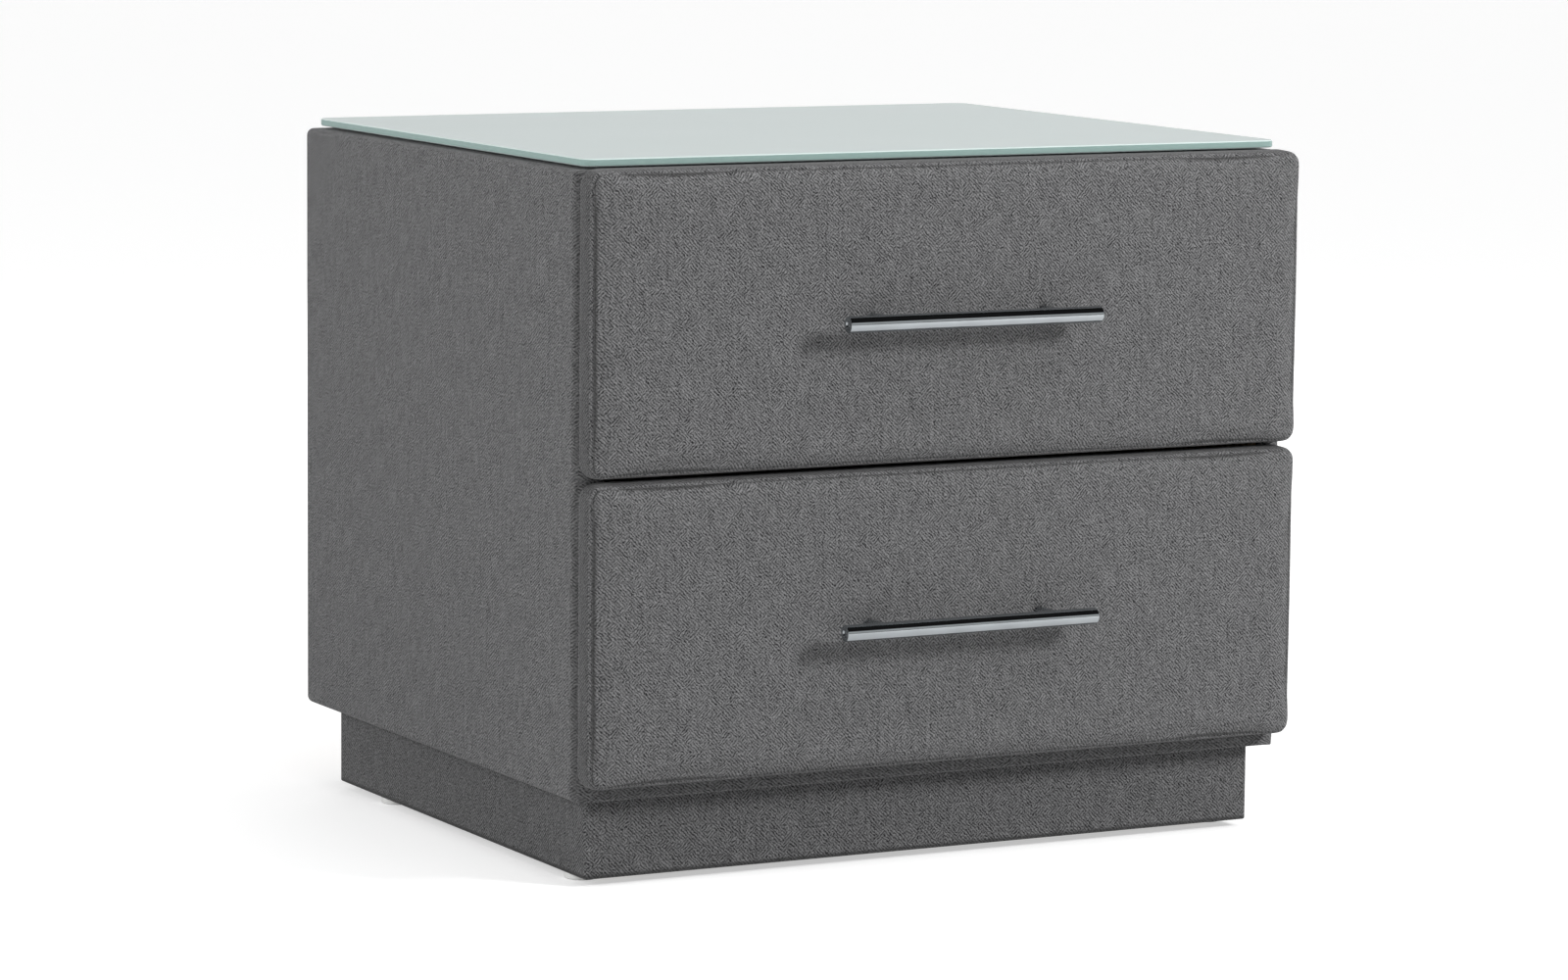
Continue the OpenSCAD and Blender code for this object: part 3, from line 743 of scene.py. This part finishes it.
# %% Sink the seam and the dimples
SEAM_IN = 1.6 * MM
SEAM_DEEP = 1.0 * MM
SEAM_WIDE = 1.0 * MM
pad_mid = (pad_low + pad_high) / 2
pad_half = (pad_high - pad_low) / 2


def outline_distance(x, z, inset, corner):
    """How far a point lies outside a rounded rectangle that is inset from the front's outline."""
    dx = abs(x - pad_mid.x) - (pad_half.x - inset - corner)
    dz = abs(z - pad_mid.z) - (pad_half.z - inset - corner)
    outside = math.hypot(max(dx, 0), max(dz, 0))
    return outside + min(max(dx, dz), 0) - corner


def near_seam(face):
    middle = face.calc_center_median()
    return (abs(middle.y - face_y - SEAM_BACK) < 4 * MM
            and outline_distance(middle.x, middle.z, SEAM_IN, PAD_CORNER) > -5 * MM)


pick(pad, "FACE", near_seam)
bpy.ops.mesh.subdivide(number_cuts=1)
bpy.ops.object.mode_set(mode="OBJECT")
post_places = []
for side in (-1, 1):
    low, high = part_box("lower_handle_posts")
    post_places.append((side * (high.x - (high.z - low.z) / 2), (low.z + high.z) / 2))
DIMPLE_WIDE = 9 * MM
DIMPLE_DEEP = 1.1 * MM
pad.data.update()
moves = []
for vertex in pad.data.vertices:
    place, normal = vertex.co, vertex.normal
    deep = 0.0
    if place.y < face_y + 8 * MM:
        near = outline_distance(place.x, place.z, SEAM_IN, PAD_CORNER)
        line = place.y - (face_y + SEAM_BACK)
        gap = line if near > -1.5 * MM else 1
        deep += SEAM_DEEP * math.exp(-(gap / SEAM_WIDE) ** 2)
    for x, z in post_places:
        away = math.hypot(place.x - x, place.z - z)
        if place.y < face_y + 3 * MM:
            deep += DIMPLE_DEEP * math.exp(-(away / DIMPLE_WIDE) ** 2)
    moves.append(-normal * deep)
for vertex, move in zip(pad.data.vertices, moves):
    vertex.co += move
pad.data.update()

# %% Make the front boards
BOARD_SHY = 1.2 * MM
BOARD_CORNER, BOARD_RIM = 8 * MM, 5 * MM
for row in ROWS:
    low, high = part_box(f"{row}_front_board")
    board = add_block(f"{row}_board", (low.x + BOARD_SHY, low.y + BOARD_SHY, low.z + BOARD_SHY),
                      (high.x - BOARD_SHY, high.y, high.z - BOARD_SHY))
    bevel_edges(board, lambda edge: runs_along(edge, 1), BOARD_CORNER, 8)
    rim_y = low.y + BOARD_SHY
    bevel_edges(board, lambda edge: fold_angle(edge) > 60
                and all(abs(v.co.y - rim_y) < 0.01 * MM for v in edge.verts), BOARD_RIM, 4)
    finish_piece(board, f"{row}_drawer", [chipboard], [f"{row}_front_board"])

# %% Copy the pad to both drawers
lay_weave(pad)
upper_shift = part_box("upper_front_cover")[0] - pad_low
pads = {"lower": pad, "upper": mesh_copy(pad, "upper_pad", upper_shift)}
for row, piece in pads.items():
    finish_piece(piece, f"{row}_drawer", [grey_fabric, strip_cloth_painted_shade],
                 [f"{row}_front_cover"], 60)
    # The side strip's faces take the darker cloth, which is painted shade.
    for face in piece.data.polygons:
        on_strip = face.center.y > face_y + SEAM_BACK and face.normal.y > -0.5
        face.material_index = 1 if on_strip else 0

# %% [markdown]
# ## The hem behind each front
# The cover is folded on to the back of the board and stapled, so the open drawer shows a frame
# of cloth with raw board inside it. A flat block with rounded corners is inset and its middle
# removed, and a row of staples holds it.

# %% Make the hems
HEM_WIDE = 22 * MM
HEM_ROUND = 0.4 * MM


def make_hem(row):
    low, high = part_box(f"{row}_front_cover")
    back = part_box(f"{row}_front_board")[1].y
    hem = add_block(f"{row}_hem", (low.x + PAD_SHY, back - 0.4 * MM, low.z + PAD_SHY),
                    (high.x - PAD_SHY, high.y, high.z - PAD_SHY))
    bevel_edges(hem, lambda edge: runs_along(edge, 1), PAD_CORNER - PAD_SHY, 8)
    cut(hem, add_block("middle", (low.x + HEM_WIDE, back - 0.01, low.z + HEM_WIDE),
                       (high.x - HEM_WIDE, high.y + 0.01, high.z - HEM_WIDE)))
    bevel_edges(hem, lambda edge: fold_angle(edge) > 60
                and all(abs(v.co.y - high.y) < 0.01 * MM for v in edge.verts), HEM_ROUND, 2)
    lay_weave(hem)
    return finish_piece(hem, f"{row}_drawer", [grey_fabric])


for row in ROWS:
    make_hem(row)

# %% Staple the hems
STAPLE_LONG, STAPLE_THICK, STAPLE_STEP = 10 * MM, 0.6 * MM, 38 * MM


def join_pieces(pieces, name):
    """Joins pieces into one mesh."""
    bpy.ops.object.select_all(action="DESELECT")
    for piece in pieces:
        piece.select_set(True)
    bpy.context.view_layer.objects.active = pieces[0]
    bpy.ops.object.join()
    pieces[0].name = name
    return pieces[0]


def run_of_places(low, high, step):
    """Evenly spaced places from low to high, no further apart than the step."""
    count = max(1, math.ceil((high - low) / step))
    return [low + (high - low) * number / count for number in range(count + 1)]


def add_staple(place, upright):
    size = Vector((STAPLE_THICK, STAPLE_THICK, STAPLE_LONG) if upright
                  else (STAPLE_LONG, STAPLE_THICK, STAPLE_THICK))
    staple = add_block("staple", place - size / 2, place + size / 2)
    bevel_edges(staple, lambda edge: fold_angle(edge) > 60, 0.2 * MM, 2)
    return staple


def make_staples(row):
    low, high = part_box(f"{row}_front_cover")
    y = high.y + 0.05 * MM
    in_by = 12 * MM
    across = run_of_places(low.x + 2 * in_by, high.x - 2 * in_by, STAPLE_STEP)
    up = run_of_places(low.z + 2 * in_by, high.z - 2 * in_by, STAPLE_STEP)
    staples = [add_staple(Vector((x, y, z)), False)
               for x in across for z in (low.z + in_by, high.z - in_by)]
    staples += [add_staple(Vector((x, y, z)), True)
                for z in up for x in (low.x + in_by, high.x - in_by)]
    return finish_piece(join_pieces(staples, f"{row}_staples"), f"{row}_drawer",
                        [zinc])


for row in ROWS:
    make_staples(row)

# %% [markdown]
# ## The handles
# Each handle is a round bar on two posts. A cylinder's end is only a sharp disc, so its rim is
# bevelled, and the ends of the posts are bevelled too.

# %% Make the bars and posts
def make_bar(row):
    low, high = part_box(f"{row}_handle_bar")
    middle = (low + high) / 2
    radius = (high.z - low.z) / 2
    bar = add_rod(f"{row}_bar", (low.x, middle.y, middle.z), (high.x, middle.y, middle.z), radius, 72)
    bevel_edges(bar, lambda edge: fold_angle(edge) > 60, 0.9 * MM, 4)
    pick(bar, "FACE", lambda face: abs(face.normal.x) > 0.999)
    bpy.ops.mesh.inset(thickness=2.0 * MM)
    bpy.ops.mesh.inset(thickness=0.9 * MM, depth=-0.9 * MM)
    bpy.ops.object.mode_set(mode="OBJECT")
    return finish_piece(bar, f"{row}_drawer", [chrome], [f"{row}_handle_bar"], 40)


def make_post(row, number, x, z):
    low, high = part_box(f"{row}_handle_posts")
    bar_low, bar_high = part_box(f"{row}_handle_bar")
    bar_y = (bar_low.y + bar_high.y) / 2
    radius = (high.z - low.z) / 2
    post = add_rod(f"{row}_post_{number}", (x, bar_y, z), (x, high.y + 1.6 * MM, z), radius, 48)
    bevel_edges(post, lambda edge: fold_angle(edge) > 60, 0.6 * MM, 3)
    return finish_piece(post, f"{row}_drawer", [chrome],
                        [f"{row}_handle_posts"] if number == 0 else [], 40)


for row in ROWS:
    make_bar(row)
    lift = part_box(f"{row}_handle_posts")[0].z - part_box("lower_handle_posts")[0].z
    for number, (x, z) in enumerate(post_places):
        make_post(row, number, x, z + lift)

# %% [markdown]
# ## The glass top
# A sheet of toughened glass has rounded corners and a fine ground bevel along each edge, the
# arris. Its bright line is a painted highlight: the arris glass is pale, as ground glass is, and
# painted lighter still. The flat faces, the edge and the arris each get their own glass.

# %% Make the glass
glass_low, glass_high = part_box("glass_top")
GLASS_CORNER = 10 * MM
ARRIS = 0.7 * MM
glass = add_block("glass_sheet", glass_low, glass_high)
bevel_edges(glass, lambda edge: runs_along(edge, 2), GLASS_CORNER, 12)
bevel_edges(glass, lambda edge: abs(edge.verts[0].co.z - edge.verts[1].co.z) < 0.01 * MM
            and fold_angle(edge) > 60, ARRIS, 1)
finish_piece(glass, "carcass", [etched_glass, glass_edge, arris_glass_painted_highlight],
             ["glass_top"], 20)
for face in glass.data.polygons:
    upright = abs(face.normal.z)
    face.material_index = 0 if upright > 0.99 else 1 if upright < 0.1 else 2

# %% [markdown]
# ## Softened boards and steel
# Real boards have edge banding and real folded steel has a bend radius, so no edge is
# perfectly sharp. A copy of each drawer box board and slide member is merged, its flat
# triangles are dissolved back to whole faces, and its sharp edges get a very small bevel.

# %% Soften copies of the frame nodes
def soften(node, material, width, segments=2):
    """A piece that stands for a frame node, with the node's sharp edges bevelled."""
    source = frame["nodes"][node]
    piece = source.copy()
    piece.data = source.data.copy()
    piece.parent = None
    piece.matrix_world = Matrix.Identity(4)
    piece.name = f"{node}_soft"
    for key in list(piece.keys()):
        del piece[key]
    bpy.context.scene.collection.objects.link(piece)
    piece.data.materials.clear()
    pick(piece, "FACE", lambda face: True)
    bpy.ops.mesh.remove_doubles(threshold=0.00001)
    bpy.ops.mesh.dissolve_limited(angle_limit=math.radians(1))
    bpy.ops.object.mode_set(mode="OBJECT")
    step = piece.modifiers.new("soft edges", "BEVEL")
    step.width = width
    step.segments = segments
    step.limit_method = "ANGLE"
    step.angle_limit = math.radians(50)
    hold(piece)
    bpy.ops.object.modifier_apply(modifier=step.name)
    return finish_piece(piece, node_body[node], [material], [node], 40)


node_body = {node: body for body, nodes in frame["record"]["behaviour"]["bodies"].items()
             for node in nodes}
BOX_PARTS = ["box_side_left", "box_side_right", "box_front", "box_back"]
for row in ROWS:
    for part in BOX_PARTS:
        soften(f"{row}_{part}", foil, 0.5 * MM)
    for side in SIDES:
        for member in ("outer", "middle", "inner"):
            soften(f"{row}_slide_{member}_{side}", zinc, 0.3 * MM)

# %% [markdown]
# ## Screws, glides and ball rows
# A real screw has a shaped head with a cross recess. The frame already says where each screw
# is, as a plain shank, so each one is measured there, and a copy of one finished screw is
# turned and moved on to it. The head end is the end with the widest part. The glides are
# moulded feet with rounded rims, and the slides get the balls that they run on.

# %% Measure what is in one frame node
def islands(node):
    """The separate solids of a frame node, each as a list of its points."""
    mesh = bmesh.new()
    mesh.from_mesh(frame["nodes"][node].data)
    bmesh.ops.remove_doubles(mesh, verts=mesh.verts, dist=0.01 * MM)
    seen = set()
    found = []
    for vertex in mesh.verts:
        if vertex.index in seen:
            continue
        seen.add(vertex.index)
        waiting, points = [vertex], []
        while waiting:
            here = waiting.pop()
            points.append(here.co.copy())
            for edge in here.link_edges:
                other = edge.other_vert(here)
                if other.index not in seen:
                    seen.add(other.index)
                    waiting.append(other)
        found.append(points)
    mesh.free()
    return found


def corners(points):
    return (Vector([min(p[axis] for p in points) for axis in range(3)]),
            Vector([max(p[axis] for p in points) for axis in range(3)]))


# %% Make one screw
def make_screw(shank, head, rise, length, sunk):
    """A screw with its head's outer face on the origin and its tip along +Z."""
    screw = add_rod("screw", (0, 0, 0.2 * MM), (0, 0, length), shank / 2, 16)
    bevel_edges(screw, lambda edge: fold_angle(edge) > 60
                and edge.verts[0].co.z > length / 2, shank * 0.3, 2)
    top = add_rod("head", (0, 0, 0), (0, 0, rise), head / 2, 32)
    if sunk:
        pick(top, "FACE", lambda face: face.normal.z > 0.9)
        bpy.ops.transform.resize(value=(shank / head, shank / head, 1))
        bpy.ops.object.mode_set(mode="OBJECT")
    else:
        bevel_edges(top, lambda edge: fold_angle(edge) > 60 and edge.verts[0].co.z < rise / 2,
                    rise * 0.45, 4)
    arm, wide, deep = head * 0.27, head * 0.07, rise * 0.55
    for x, y in ((arm, wide), (wide, arm)):
        cut(top, add_block("recess", (-x, -y, -rise), (x, y, deep)))
    return join_pieces([top, screw], "screw")


def place_screws(node, body, sunk):
    found = islands(node)
    low, high = corners(found[0])
    axis = max(range(3), key=lambda way: high[way] - low[way])
    side_axis = (axis + 1) % 3
    head = high[side_axis] - low[side_axis]
    length = high[axis] - low[axis]
    centre = (low + high) / 2
    shank = 2 * min((p - centre)[side_axis] ** 2 + (p - centre)[(axis + 2) % 3] ** 2
                    for p in found[0]) ** 0.5
    pattern = make_screw(shank, head, shank / 2 if sunk else 0.18 * head + 1.0 * MM, length, sunk)
    copies = []
    for number, points in enumerate(found):
        low, high = corners(points)
        middle = (low + high) / 2

        def width_near(end):
            near = [p for p in points if abs(p[axis] - end) < 0.2 * MM]
            return max((Vector(p) - middle)[side_axis] for p in near)

        head_low = width_near(low[axis]) > width_near(high[axis])
        way = Vector((0, 0, 0))
        way[axis] = 1 if head_low else -1
        start = middle.copy()
        start[axis] = low[axis] if head_low else high[axis]
        turned = way.to_track_quat("Z", "Y").to_matrix().to_4x4()
        twin = mesh_copy(pattern, f"{node}_{number}")
        twin.data.transform(Matrix.Translation(start) @ turned)
        copies.append(twin)
    bpy.data.objects.remove(pattern, do_unlink=True)
    piece = join_pieces(copies, f"{node}_made")
    return finish_piece(piece, body, [zinc], [node], 30)


# %% Put a screw on each place
place_screws("carcass_screws", "carcass", True)
place_screws("plinth_screws", "carcass", True)
place_screws("back_screws", "carcass", True)
place_screws("carcass_slide_screws", "carcass", False)
for row in ROWS:
    place_screws(f"{row}_handle_screws", f"{row}_drawer", False)
    place_screws(f"{row}_box_screws", f"{row}_drawer", True)
    place_screws(f"{row}_front_screws", f"{row}_drawer", True)
    place_screws(f"{row}_slide_screws", f"{row}_drawer", False)

# %% Mould the glides
def make_glide(low, high):
    middle = (low + high) / 2
    radius = (high.x - low.x) / 2
    foot_top = 5 * MM
    foot = add_rod("glide", (middle.x, middle.y, low.z), (middle.x, middle.y, foot_top), radius, 64)
    bevel_edges(foot, lambda edge: fold_angle(edge) > 60 and edge.verts[0].co.z < 1 * MM,
                1.5 * MM, 5)
    bevel_edges(foot, lambda edge: fold_angle(edge) > 60 and edge.verts[0].co.z > 4 * MM,
                0.6 * MM, 3)
    pin = add_rod("pin", (middle.x, middle.y, foot_top - 0.5 * MM), (middle.x, middle.y, high.z),
                  1.5 * MM, 16)
    bevel_edges(pin, lambda edge: fold_angle(edge) > 60, 0.4 * MM, 2)
    return join_pieces([foot, pin], "glide")


glide_pieces = [make_glide(*corners(points)) for points in islands("glides")]
finish_piece(join_pieces(glide_pieces, "moulded_glides"), "carcass",
             [glide_plastic], ["glides"])

# %% Fill the slides with balls
SHEET = 1.2 * MM
BALL_STEP = 14 * MM
CAGE_LONG = 0.5


def add_ball(place, radius):
    bpy.ops.object.select_all(action="DESELECT")
    bpy.ops.mesh.primitive_uv_sphere_add(segments=12, ring_count=8, radius=radius, location=place)
    return settle(bpy.context.object)


def ball_row(x, z, radius, start, end):
    """A thin cage strip with balls standing through it."""
    cage = add_block("cage", (x - 1.4 * radius, start, z - 0.25 * MM),
                     (x + 1.4 * radius, end, z + 0.25 * MM))
    bevel_edges(cage, lambda edge: runs_along(edge, 2), radius * 0.6, 2)
    places = run_of_places(start + 4 * MM, end - 4 * MM, BALL_STEP)
    return [cage] + [add_ball((x, y, z), radius) for y in places]


def make_balls(row, side):
    """Balls on the middle member, where its neighbours still cover them when it is pulled out."""
    outer, middle, inner = (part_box(f"{row}_slide_{member}_{side}")
                            for member in ("outer", "middle", "inner"))
    length = middle[1].y - middle[0].y
    radius = (outer[1].z - SHEET - middle[1].z) / 2 - 0.05 * MM
    parts = []
    for bigger, smaller, start in ((outer, middle, 1 - CAGE_LONG), (middle, inner, 0.0)):
        x = (max(bigger[0].x, smaller[0].x) + min(bigger[1].x, smaller[1].x)) / 2
        y = middle[0].y + length * start
        centre_z = (bigger[0].z + bigger[1].z) / 2
        reach = smaller[1].z + (bigger[1].z - SHEET - smaller[1].z) / 2 - centre_z
        for sign in (-1, 1):
            parts += ball_row(x, centre_z + sign * reach, radius, y + 8 * MM,
                              y + length * CAGE_LONG - 8 * MM)
    return finish_piece(join_pieces(parts, f"{row}_balls_{side}"), f"{row}_slide_middles",
                        [zinc], smooth=60)


for row in ROWS:
    for side in SIDES:
        make_balls(row, side)

# %% Give the plain nodes their materials
def dress(node, material):
    """A frame node whose shape is right keeps its mesh and only gets a better material."""
    mesh = frame["nodes"][node].data
    mesh.materials.clear()
    mesh.materials.append(material)


SLOT_MATERIALS = {
    "board": chipboard, "hardboard": hardboard, "box_board": foil, "zinc_steel": zinc,
    "clear_bumper": clear_plastic, "glide_plastic": glide_plastic, "chrome": chrome,
    "fabric": grey_fabric, "frosted_glass": etched_glass}
for entry in frame["record"]["subparts"]:
    dress(entry["node"], SLOT_MATERIALS[entry["material_slot"]])

# %% [markdown]
# ## Floor, light and air
# A pale floor runs far past the picture. The air itself lights the cabinet softly from all
# sides, a wide distant light overhead brightens what faces up, and a smaller panel from the
# upper right front gives the handles a gentle shadow. Two weak panels fill the left and the
# back. Chrome needs something dark to mirror, so reflections see a room with a dark ceiling.

# %% Make the floor
floor = add_block("floor", (-30, -30, -0.02), (30, 30, 0))
floor_material, floor_tree, floor_shader = start_material("pale_floor", Roughness=0.9)
floor_shader.inputs["Base Color"].default_value = (0.62, 0.62, 0.62, 1)
floor_shader.inputs["Emission Color"].default_value = (1, 1, 1, 1)
floor_ray = add_node(floor_tree, "ShaderNodeLightPath").outputs
floor_tree.links.new(blend_value(floor_tree, floor_ray["Is Camera Ray"], 0.10, 0.50),
                     floor_shader.inputs["Emission Strength"])
floor.data.materials.append(floor_material)


# %% Make the lights
def add_panel(name, place, aim, size, power):
    data = bpy.data.lights.new(name, "AREA")
    data.shape = "SQUARE"
    data.size = size
    data.energy = power
    panel = bpy.data.objects.new(name, data)
    bpy.context.scene.collection.objects.link(panel)
    panel.location = place
    panel.rotation_euler = (Vector(aim) - Vector(place)).to_track_quat("-Z", "Y").to_euler()
    panel.visible_glossy = False
    return panel


def add_sky_light(name, tilt, strength, spread_angle):
    """A very distant light, which lights the far floor as much as the near one."""
    data = bpy.data.lights.new(name, "SUN")
    data.energy = strength
    data.angle = math.radians(spread_angle)
    light = bpy.data.objects.new(name, data)
    bpy.context.scene.collection.objects.link(light)
    light.rotation_euler = [math.radians(angle) for angle in tilt]
    light.visible_glossy = False
    return light


middle = (cad_bounds[0] + cad_bounds[1]) / 2
add_sky_light("overhead", (12, 4, 0), 1.45, 60)
add_panel("key", (1.75, -2.25, 1.65), middle, 0.6, 82)
add_panel("left_fill", (-3.2, -0.7, 1.3), middle, 1.8, 58)
add_panel("back_fill", (1.6, 3.0, 1.3), middle, 1.8, 30)

# %% Make the air
world = bpy.data.worlds.new("air")
bpy.context.scene.world = world
world.use_nodes = True
air = world.node_tree
sky = air.nodes["Background"]
ray = add_node(air, "ShaderNodeLightPath").outputs
way = add_node(air, "ShaderNodeSeparateXYZ",
               {0: add_node(air, "ShaderNodeTexCoord").outputs["Generated"]}).outputs
height_angle = calc(air, "ARCTAN2", way[2], calc(air, "MULTIPLY", way[1], -1.0))
from_front = spread(air, height_angle, math.radians(24), math.radians(32))
to_back = spread(air, height_angle, math.radians(114), math.radians(106))
dark_ceiling = calc(air, "MULTIPLY", from_front, to_back)
wall_line = spread(air, height_angle, math.radians(3), math.radians(9))
front_wall = blend_value(air, wall_line, 0.30, 0.62)
open_back = spread(air, height_angle, math.radians(60), math.radians(110))
mirrored = blend_value(air, open_back, front_wall, 1.0)
mirrored = blend_value(air, dark_ceiling, mirrored, 0.015)
seen = blend_value(air, ray["Is Glossy Ray"], 0.28, mirrored)
seen = blend_value(air, ray["Is Camera Ray"], seen, 1.0)
air.links.new(seen, sky.inputs["Strength"])
sky.inputs["Color"].default_value = (1, 1, 1, 1)
bpy.context.scene.view_settings.view_transform = "Standard"
